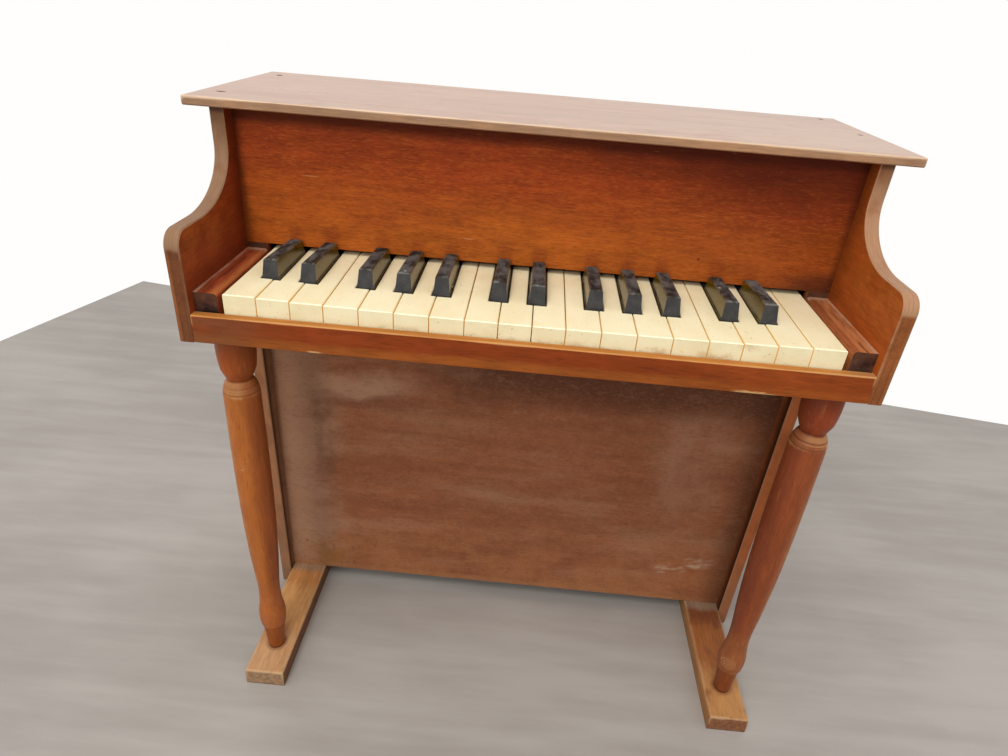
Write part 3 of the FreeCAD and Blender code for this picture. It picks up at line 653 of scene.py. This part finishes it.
for count, (share, turn) in enumerate(screw_places):
    head = copied(screw, f"block_screw_{count + 1}", (0, 0, 0))
    stand = (block_low.x + share * (block_high.x - block_low.x), back_high.y, block_middle)
    head.data.transform(Matrix.Translation(stand) @ to_back @ Matrix.Rotation(math.radians(turn), 4, "Z"))
    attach(head, "case")
bpy.data.objects.remove(screw)

# Key bed and battens
# The key bed is a plain shelf between the side boards that carries the keys and their pivots.
# Battens of square softwood, glued in the corners, hold it, the knee panel and the fallboard.
softwood, softwood_shade, softwood_pore = (0.42, 0.26, 0.13), (0.24, 0.12, 0.055), (0.17, 0.085, 0.04)
for name, seed, along in (("key_bed", 11.0, 0), ("fallboard_cleats", 12.0, 2), ("knee_cleats", 13.0, 2),
                          ("bed_cleats", 14.0, 1), ("tail_rest_rail", 15.0, 0)):
    bare_wood, shader, place, _ = start_finish(name + "_bare_wood", 0.2)
    tone, pores, relief = wood(place, along, seed)
    smudge = place.noise((25.0, 25.0, 25.0), 4)
    colour = stain(tone, softwood, 0.3)
    colour = (smudge.between(0.5, 0.75) * 0.5).tint(colour, softwood_shade)
    colour = (pores * 0.4).tint(colour, softwood_pore)
    finish_wood(shader, colour, relief, 0.6 + smudge * 0.2)
    dress(name, bare_wood)

# Key action
# One steel rod in two bent steel brackets carries every key. Felt strips stop the keys above and
# below, and steel tone rods, pressed into an iron bar on the back panel, sound when struck.
metal_depth, felt_depth, felt_fluff = 0.0002, 0.0004, (0.35, 0.31, 0.26)
bracket_steel, bracket_rust = (0.42, 0.41, 0.39), (0.22, 0.12, 0.06)
for name, base, rust, rough in (
        ("key_pivot_rod", (0.5, 0.49, 0.47), (0.2, 0.1, 0.05), 0.28),
        ("left_pivot_bracket", bracket_steel, bracket_rust, 0.38),
        ("right_pivot_bracket", bracket_steel, bracket_rust, 0.38),
        ("tone_rods", (0.48, 0.47, 0.46), (0.24, 0.13, 0.07), 0.3),
        ("tone_block", (0.09, 0.09, 0.095), (0.16, 0.07, 0.035), 0.55)):
    metal, shader, place, _ = start_finish(name + "_metal", 0.5)
    smudge = place.noise((130.0, 130.0, 130.0), 4)
    drawn = place.noise((40.0, 40.0, 40.0), 2)
    rusty = (smudge * 0.7 + drawn * 0.3).between(0.52, 0.66)
    rusty.tint(stain(drawn, base), rust).to(shader, "Base Color")
    (1 - rusty * 0.85).to(shader, "Metallic")
    (rough + rusty * 0.35).to(shader, "Roughness")
    smudge.press(shader, 0.3, metal_depth)
    dress(name, metal)

for name, dye in (("down_stop_felt", (0.09, 0.16, 0.1)), ("tail_rest_felt", (0.24, 0.045, 0.04))):
    felt, shader, place, _ = start_finish(name + "_cloth", 0.15)
    shader.inputs["Sheen Weight"].default_value = 0.4
    fibres = place.noise((1100.0, 1100.0, 1100.0), 3)
    moth = place.noise((120.0, 120.0, 120.0), 3)
    colour = fibres.between(0.35, 0.7).tint(dim(dye, 0.6), dim(dye, 1.3))
    (moth.between(0.58, 0.72) * 0.4).tint(colour, felt_fluff).to(shader, "Base Color")
    (0.85 + moth * 0.1).to(shader, "Roughness")
    fibres.press(shader, 0.8, felt_depth)
    dress(name, felt)

# Key slip
# The key slip is a narrow hardwood rail across the front, glued and nailed to the key bed between
# the arms. Fingers have rubbed its top pale, and its lower front edge is chipped.
low_band, slip_arris, slip_head = (0.3305, 0.3255), (0.0012, 0.0003), (0.332, 0.336)
right_part, left_part, dusty_part = (0.06, 0.16), (-0.14, -0.2), (0.17, 0.21)
left_chip, right_chip_from, right_chip_to = (-0.136, 0.006), (0.126, 0.134), (0.16, 0.15)
chip_height = (0.3234, 0.3222)
slip_red, slip_low_red, slip_right_red = (0.215, 0.039, 0.0075), (0.28, 0.08, 0.014), (0.31, 0.066, 0.011)
slip_left_brown, slip_pore, slip_top = (0.17, 0.066, 0.028), (0.06, 0.012, 0.005), (0.43, 0.16, 0.032)
slip_top_shade, slip_dust = (0.36, 0.14, 0.042), (0.4, 0.25, 0.16)
slip_bare, slip_chip = (0.6, 0.32, 0.12), (0.64, 0.4, 0.17)
slip_varnish, shader, place, facing = start_finish("key_slip_varnish", 0.1)
x, _, z = place.apart()
_, _, nz = facing.apart()
tone, pores, relief = wood(place, 0, 7.7)
smudge = place.noise((20.0, 20.0, 60.0), 5, 0.6)
colour = stain(tone, slip_red, 0.26)
lower = z.frayed(smudge, 0.008).between(*low_band)
colour = (lower * 0.75).tint(colour, stain(tone, slip_low_red))
right_end = x.between(*right_part) * smudge.between(0.3, 0.55)
colour = (right_end * 0.6).tint(colour, stain(tone, slip_right_red))
left_end = x.between(*left_part) * smudge.between(0.35, 0.6)
colour = (left_end * 0.6).tint(colour, slip_left_brown)
colour = (pores * 0.35).tint(colour, slip_pore)
rubbed_top = stain(tone, slip_top, 0.2)
rubbed_top = (smudge.between(0.5, 0.72) * 0.4).tint(rubbed_top, slip_top_shade)
colour = nz.between(0.25, 0.6).tint(colour, rubbed_top)
settled = x.between(*dusty_part) * nz.between(0.4, 0.8) * smudge.between(0.3, 0.6)
colour = (settled * 0.6).tint(colour, slip_dust)
worn = arris(place, *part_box("key_slip")).frayed(smudge, 0.003).between(*slip_arris)
colour = (worn * 0.5 * z.between(*slip_head)).tint(colour, slip_bare)
chip = place.noise((90.0, 90.0, 500.0), 4, 0.65)
chipped = x.near(*left_chip) * 0.8
chipped = chipped.most(x.between(*right_chip_from) * x.between(*right_chip_to))
chipped = chipped * z.frayed(chip, 0.006).between(*chip_height)
colour = (chipped * 0.85).tint(colour, slip_chip)
finish_wood(shader, colour, relief, 0.34 + smudge * 0.3)
dress("key_slip", slip_varnish)

# Key blocks
# A block of red-stained hardwood fills each end of the keyboard, glued to the bed and the cheek.
# Its long edges are rounded and rubbed to bare wood, and its sawn front end is black with handling.
rub_reach, dark_line = (0.0062, 0.0025), (0.0088, 0.0014)        # from the edge beside the keys
cheek_joint, fall_joint, end_head = (0.0122, 0.0138), (-0.022, -0.0175), (0.342, 0.352)
dark_dirt, joint_dust, block_pore = (0.07, 0.018, 0.009), (0.47, 0.3, 0.2), (0.04, 0.01, 0.006)
end_black, end_brown = (0.014, 0.007, 0.006), (0.095, 0.042, 0.027)
end_top, block_lip = (0.12, 0.042, 0.019), (0.36, 0.19, 0.11)
for name, seed, side, top, rubbed_edge in (
        ("left_key_block", 16.0, -1, (0.32, 0.062, 0.021), (0.44, 0.14, 0.042)),
        ("right_key_block", 17.0, 1, (0.42, 0.152, 0.055), (0.23, 0.06, 0.02))):
    low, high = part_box(name)
    key_side = low.x if side > 0 else -high.x
    block_stain, shader, place, facing = start_finish(name + "_stain", 0.16)
    x, y, z = place.apart()
    _, ny, nz = facing.apart()
    tone, pores, relief = wood(place, 1, seed)
    smudge = place.noise((120.0, 40.0, 120.0), 5, 0.6)
    colour = stain(tone, top, 0.34)
    streaks = place.noise((420.0, 14.0, 60.0), 4, 0.6)
    colour = (streaks.between(0.5, 0.62) * 0.55).tint(colour, dim(top, 0.42))
    colour = (streaks.between(0.45, 0.36) * 0.4).tint(colour, dim(top, 1.4))
    inner = (x * side - key_side).frayed(smudge, 0.005)
    rubbed = inner.between(*rub_reach) * nz.between(0.1, 0.6)
    colour = (rubbed * 0.75).tint(colour, stain(tone, rubbed_edge))
    colour = (inner.near(*dark_line) * smudge.between(0.4, 0.6) * 0.6).tint(colour, dark_dirt)
    joint = inner.between(*cheek_joint).most(y.between(*fall_joint)) * nz.between(0.3, 0.7)
    colour = (joint * smudge.between(0.25, 0.65) * 0.8).tint(colour, joint_dust)
    colour = (pores * 0.35).tint(colour, block_pore)
    handled = (-ny).between(0.3, 0.8)
    black_end = smudge.between(0.35, 0.7).tint(end_black, end_brown)
    black_end = (z.between(*end_head) * 0.5).tint(black_end, end_top)
    colour = handled.tint(colour, black_end)
    lip = (-ny).between(0.2, 0.45) * (-ny).between(0.95, 0.75) * nz.between(0.1, 0.4)
    colour = (lip * 0.5).tint(colour, block_lip)
    finish_wood(shader, colour, relief, 0.3 + smudge * 0.3)
    dress(name, block_stain)

# White keys
# The white keys are hollow mouldings of cream plastic, yellowed with age, each with its lever in
# one piece. Their sides carry a painted amber reflection, and dirt marks the fronts where hands have been.
cream, yellowed, dragged = (0.95, 0.855, 0.575), (0.9, 0.785, 0.495), (0.85, 0.76, 0.52)
shaded_front_cream, shaded_front_yellowed = (0.83, 0.755, 0.5), (0.77, 0.68, 0.42)
back_grime, hand_grime, low_grime = (0.68, 0.57, 0.35), (0.5, 0.33, 0.15), (0.5, 0.3, 0.12)
speck_brown, spot_brown, gap_reflection_amber = (0.36, 0.26, 0.15), (0.58, 0.41, 0.2), (0.88, 0.62, 0.22)
edge_highlight_cream, shaded_hidden_cream = (0.95, 0.87, 0.63), (0.6, 0.5, 0.31)
no_glow, painted_gap_glow = (0.0, 0.0, 0.0), (0.085, 0.06, 0.019)
grimy_back, hand_from, hand_to = (-0.06, -0.018), (0.02, 0.06), (0.185, 0.15)
front_low, hidden_back, glow_front = (0.345, 0.3395), (-0.012, -0.004), (-0.06, -0.1)
drag_depth = 0.0003
ivory, shader, place, facing = start_finish("white_key_plastic", 0.4)
x, y, z = place.apart()
nx, ny, nz = facing.apart()
cloud = place.noise((50.0, 28.0, 50.0), 4)
drag = place.noise((240.0, 22.0, 240.0), 3)
speck = place.noise((620.0, 620.0, 620.0), 2)
grime = place.noise((75.0, 60.0, 130.0), 5, 0.65)
colour = cloud.between(0.35, 0.7).tint(cream, yellowed)
colour = (drag.between(0.5, 0.75) * 0.3).tint(colour, dragged)
colour = (y.between(*grimy_back) * grime.between(0.4, 0.7) * 0.3).tint(colour, back_grime)
front = (-ny).between(0.6, 0.9)
# Painted shade: the fronts are set darker than the tops.
colour = front.tint(colour, cloud.between(0.35, 0.7).tint(shaded_front_cream, shaded_front_yellowed))
right_hand = x.between(*hand_from) * x.between(*hand_to)
colour = (front * right_hand * grime.between(0.55, 0.68) * 0.35).tint(colour, hand_grime)
colour = (front * z.between(*front_low) * grime.between(0.5, 0.66) * 0.45).tint(colour, low_grime)
colour = (speck.between(0.7, 0.74) * 0.75).tint(colour, speck_brown)
spot = place.noise((230.0, 190.0, 230.0), 3)
colour = (spot.between(0.68, 0.74) * 0.4).tint(colour, spot_brown)
# Painted reflection: the sides of the keys are set amber for light bounced between neighbouring keys.
flank = abs(nx).between(0.7, 0.95)
colour = (flank * 0.9).tint(colour, gap_reflection_amber)
# Painted highlight along the front top edge of each key.
shine = (nz * -ny).between(0.25, 0.4)
colour = (shine * 0.8).tint(colour, edge_highlight_cream)
# Painted shade: the keys are darker where they pass under the fallboard.
colour = y.between(*hidden_back).tint(colour, shaded_hidden_cream)
# Painted glow: the sides of the keys near the front give off a faint light of their own.
(flank * y.between(*glow_front)).tint(no_glow, painted_gap_glow).to(shader, "Emission Color")
shader.inputs["Emission Strength"].default_value = 1.0
colour.to(shader, "Base Color")
(0.3 + drag * 0.25 + grime * 0.1).to(shader, "Roughness")
drag.press(shader, 0.12, drag_depth)

# Black keys
# The black keys are moulded in black plastic, taller and tapered. Their tops are scuffed and dusty, and
# their glossy sides mirror the cream white keys beside them, a reflection also painted into their colour.
side_reflection_dark, side_reflection_light = (0.07, 0.043, 0.002), (0.115, 0.072, 0.004)
front_dark, front_light = (0.03, 0.03, 0.032), (0.05, 0.049, 0.049)
top_dark, top_light, key_dust = (0.009, 0.009, 0.009), (0.03, 0.029, 0.028), (0.165, 0.158, 0.152)
worn_front_edge_highlight, worn_long_edge_highlight = (0.2, 0.18, 0.16), (0.16, 0.15, 0.14)
chip_white, fleck_white = (0.62, 0.58, 0.52), (0.7, 0.66, 0.6)
dustiest, mirror_height, scratch_depth = (0.13, 0.15), (0.3665, 0.354), 0.0003
key_chips = ((0.1263, -0.0426, 0.0011), (-0.0866, -0.0653, 0.001), (-0.0558, -0.056, 0.0017))
ebony, shader, place, facing = start_finish("black_key_plastic", 0.2)
shader.inputs["Coat IOR"].default_value = 1.9
shader.inputs["Coat Roughness"].default_value = 0.05
x, y, z = place.apart()
nx, ny, nz = facing.apart()
scuff = place.noise((130.0, 70.0, 130.0), 5, 0.65)
scratch = place.noise((700.0, 90.0, 300.0), 3)
fleck = place.noise((420.0, 420.0, 420.0), 1)
front = (-ny).between(0.5, 0.85)
top = nz.between(0.6, 0.85)
flank = abs(nx).between(0.6, 0.9)
# Painted reflection: the sides are set olive for the cream of the white keys beside them.
colour = scuff.between(0.3, 0.7).tint(side_reflection_dark, side_reflection_light)
colour = front.tint(colour, scuff.between(0.35, 0.7).tint(front_dark, front_light))
colour = top.tint(colour, (scuff * 0.7 + scratch * 0.3).between(0.36, 0.64).tint(top_dark, top_light))
dusty = top * scuff.between(0.37, 0.63) * (0.52 + 0.3 * x.between(*dustiest))
colour = dusty.tint(colour, key_dust)
# Partly wear, partly painted highlight: the front top edge and the long top edges are set paler grey.
rub = (nz * -ny).between(0.3, 0.42) * scuff.between(0.42, 0.58)
colour = (rub * 0.4).tint(colour, worn_front_edge_highlight)
long_edge = (nz * abs(nx)).between(0.28, 0.42) * scuff.between(0.4, 0.6)
colour = (long_edge * 0.3).tint(colour, worn_long_edge_highlight)
for across, back, reach in key_chips:
    off = square_off(x - across, y - back) + (scratch - 0.5) * reach * reach
    colour = (off.between(reach * reach, reach * reach * 0.4) * top * 0.8).tint(colour, chip_white)
colour = (fleck.between(0.77, 0.79) * top).tint(colour, fleck_white)
colour.to(shader, "Base Color")
(flank * (0.05 + 0.2 * z.between(*mirror_height))).to(shader, "Coat Weight")
(0.2 + 0.28 * front + 0.34 * top + scuff * 0.1).to(shader, "Roughness")
scratch.press(shader, 0.15, scratch_depth)

for name in nodes:
    if name.startswith("white_key"):
        dress(name, ivory)
    elif name.startswith("black_key"):
        dress(name, ebony)

# Fallboard
# The fallboard is a thin board across the case behind the keys, stained red and varnished. Its grain
# runs along the keyboard, and it is darker just above each black key. Its colour also holds painted
# shade under the lid and a painted sheen low on the left.
fall_low, fall_high, fall_right_dark = (0.405, 0.1, 0.0125), (0.3, 0.047, 0.009), (0.2, 0.034, 0.009)
fall_shine, pale_blotch, dark_blotch = (0.37, 0.078, 0.011), (0.41, 0.098, 0.013), (0.2, 0.03, 0.0075)
over_key_dark, dark_grain, pale_grain = (0.2, 0.03, 0.009), (0.12, 0.018, 0.005), (0.52, 0.15, 0.024)
lid_shadow, lid_shade_red = (0.06, 0.01, 0.004), (0.085, 0.0105, 0.003)
low_right_dark, fall_pore, nick_pale = (0.07, 0.02, 0.01), (0.06, 0.012, 0.005), (0.45, 0.2, 0.07)
rise, right_dark_side, shine_side, shine_height = (0.365, 0.425), (0.02, 0.17), (-0.07, -0.17), (0.43, 0.39)
mark_width, mark_height, lid_shade = (0.0075, 0.003), (0.377, 0.367), (0.4365, 0.4465)
lid_shade_right_side, lid_shade_right_height = (-0.02, 0.13), (0.405, 0.438)
corner_side, corner_low, board_ends = (0.15, 0.2), (0.378, 0.364), (0.206, 0.213)
fall_marks = ((-0.05, 0.374, 0.004, 0.0005, (0.5, 0.24, 0.09)),
              (0.115, 0.374, 0.0012, 0.0012, (0.05, 0.012, 0.006)),
              (-0.162, 0.409, 0.006, 0.0005, (0.45, 0.19, 0.06)))
fall_varnish, shader, place, _ = start_finish("fallboard_varnish", 0.08)
x, _, z = place.apart()
tone, pores, relief = wood(place, 0, 20.5)
smudge = place.noise((9.0, 9.0, 24.0), 6, 0.6)
blotch = place.noise((24.0, 24.0, 60.0), 5, 0.6)
# Darker towards the top: partly the stain, partly painted shade from the lid.
rising = z.frayed(smudge, 0.04).between(*rise)
colour = rising.tint(stain(tone, fall_low, 0.24), stain(tone, fall_high, 0.26))
# Darker towards the right.
right_darkening = x.frayed(smudge, 0.1).between(*right_dark_side)
colour = (right_darkening * 0.5).tint(colour, stain(tone, fall_right_dark, 0.26))
# Painted sheen: the lower left of the board is set a brighter orange.
shine = x.frayed(smudge, 0.1).between(*shine_side) * z.between(*shine_height)
colour = (shine * 0.4).tint(colour, stain(tone, fall_shine, 0.24))
colour = (blotch.between(0.48, 0.75) * 0.3).tint(colour, stain(tone, pale_blotch, 0.24))
colour = (blotch.between(0.52, 0.28) * 0.38).tint(colour, stain(tone, dark_blotch, 0.24))
# Darker just above each black key.
over_black_keys = None
for name in nodes:
    if name.startswith("black_key"):
        key_low, key_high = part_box(name)
        mark = abs(x - (key_low.x + key_high.x) / 2).between(*mark_width)
        over_black_keys = mark if over_black_keys is None else over_black_keys.most(mark)
over_black_keys = over_black_keys * z.frayed(smudge, 0.012).between(*mark_height) * smudge.between(0.3, 0.55)
colour = (over_black_keys * 0.4).tint(colour, over_key_dark)
grain = place.noise((260.0, 900.0, 1300.0), 2, 0.6)
colour = (grain.between(0.5, 0.68) * 0.3).tint(colour, dark_grain)
colour = (grain.between(0.46, 0.3) * 0.28).tint(colour, pale_grain)
# Painted shadow of the lid along the top of the board, deeper and darker over the right half.
under_lid = z.frayed(smudge, 0.005).between(*lid_shade)
colour = (under_lid * 0.72).tint(colour, lid_shadow)
lid_shade_right = x.frayed(smudge, 0.1).between(*lid_shade_right_side) * z.frayed(smudge, 0.03).between(*lid_shade_right_height)
colour = (lid_shade_right * 0.65).tint(colour, stain(tone, lid_shade_red))
# Darker in the lower right corner.
corner = x.between(*corner_side) * z.between(*corner_low) * smudge.between(0.3, 0.55)
colour = (corner * 0.8).tint(colour, low_right_dark)
colour = (abs(x).between(*board_ends) * 0.6).tint(colour, fall_pore)
colour = (pores * 0.28).tint(colour, fall_pore)
nick = place.noise((60.0, 60.0, 900.0), 2).between(0.71, 0.75)
colour = (nick * 0.35).tint(colour, nick_pale)
for across, height, half_wide, half_high, mark in fall_marks:
    off = square_off((x - across) / half_wide, (z - height) / half_high)
    colour = (off.between(1.2, 0.5) * 0.6).tint(colour, mark)
finish_wood(shader, colour, relief, 0.3 + smudge * 0.3)
dress("fallboard", fall_varnish)

# Top board
# The lid is a flat board, nailed down along both sides, that overhangs the front and the ends.
# Light and dust have faded its varnish to a tan, and its long front edge is worn pale.
top_low, top_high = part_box("top_board")
lid_tan, lid_dust, lid_smudge = (0.44, 0.245, 0.155), (0.52, 0.365, 0.262), (0.3, 0.115, 0.055)
lid_streak, lid_edge, lid_under = (0.33, 0.14, 0.075), (0.315, 0.16, 0.072), (0.2, 0.055, 0.02)
lid_bare, lid_pore, pit_brown = (0.68, 0.49, 0.32), (0.13, 0.05, 0.022), (0.1, 0.045, 0.025)
lid_arris, lid_face = (0.0018, 0.0005), (0.4555, 0.4575)
nail_marks = ((-0.2201, 0.0989, 0.0025, 0.0026, 1.0), (-0.2205, -0.0119, 0.0036, 0.0022, 0.8),
              (0.22, 0.1108, 0.0023, 0.0024, 0.5), (0.2231, 0.0378, 0.0021, 0.0022, 0.5))
lid_varnish, shader, place, facing = start_finish("top_board_varnish", 0.8)
x, y, z = place.apart()
_, _, nz = facing.apart()
tone, pores, relief = wood(place, 0, 24.8)
smudge = place.noise((12.0, 18.0, 12.0), 5)
dust = place.noise((6.0, 9.0, 6.0), 5)
colour = stain(tone, lid_tan, 0.16)
colour = (dust.between(0.42, 0.66) * 0.55).tint(colour, lid_dust)
colour = (smudge.between(0.56, 0.72) * 0.45).tint(colour, lid_smudge)
drawn = place.noise((4.0, 70.0, 4.0), 4, 0.6)
colour = (drawn.between(0.52, 0.66) * 0.4).tint(colour, lid_streak)
edge = (-nz).most(1 - abs(nz)).between(0.45, 0.8)
colour = edge.tint(colour, stain(tone, lid_edge, 0.3))
below = (-nz).between(0.5, 0.85)
colour = below.tint(colour, stain(tone, lid_under, 0.3))
worn = arris(place, top_low, top_high).frayed(smudge, 0.003).between(*lid_arris)
colour = (worn * 0.7 * z.between(*lid_face)).tint(colour, lid_bare)
colour = (pores * 0.25).tint(colour, lid_pore)
finish_wood(shader, colour, relief, 0.22 + dust * 0.16)
sunk = None
for across, back, half_wide, half_deep, depth in nail_marks:
    off = square_off((x - across) / half_wide, (y - back) / half_deep)
    hole = (off + (pores + tone - 0.7) * 0.5).between(1.2, 0.6)
    hole = hole * nz.between(0.5, 0.8) * depth
    sunk = hole if sunk is None else sunk.most(hole)
pit = sunk.node("BsdfDiffuse", {}, {"Color": pit_brown})
whole = sunk.node("MixShader", {}, {0: sunk, 1: Shade(sunk.tree, shader.outputs[0]), 2: pit})
whole.to(sunk.tree.nodes["Material Output"], "Surface")
dress("top_board", lid_varnish)

# Each mark holds the small rusty head of an oval nail, driven just level with the board.
dark_rust, pale_rust, crust_depth = (0.035, 0.018, 0.012), (0.13, 0.06, 0.03), 0.0001
lid_nail_head = ((-0.3, 1.1), (0.02, 1.25), (0.1, 1.1), (0.14, 0.5))
nail_rust, shader, place, _ = start_finish("lid_nail_rust", 0.3)
crust = place.noise((1400.0, 1400.0, 1400.0), 3)
crust.between(0.35, 0.7).tint(dark_rust, pale_rust).to(shader, "Base Color")
(0.6 + crust * 0.3).to(shader, "Roughness")
(0.4 - crust * 0.4).to(shader, "Metallic")
crust.press(shader, 0.4, crust_depth)
lid_nail = turned("lid_nail", lid_nail_head, (0, 0), 18)
lid_nail.data.materials.append(nail_rust)
for count, (across, back, *_) in enumerate(nail_marks):
    head = copied(lid_nail, f"lid_nail_{count + 1}", (across, back, top_high.z))
    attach(head, "case")
bpy.data.objects.remove(lid_nail)
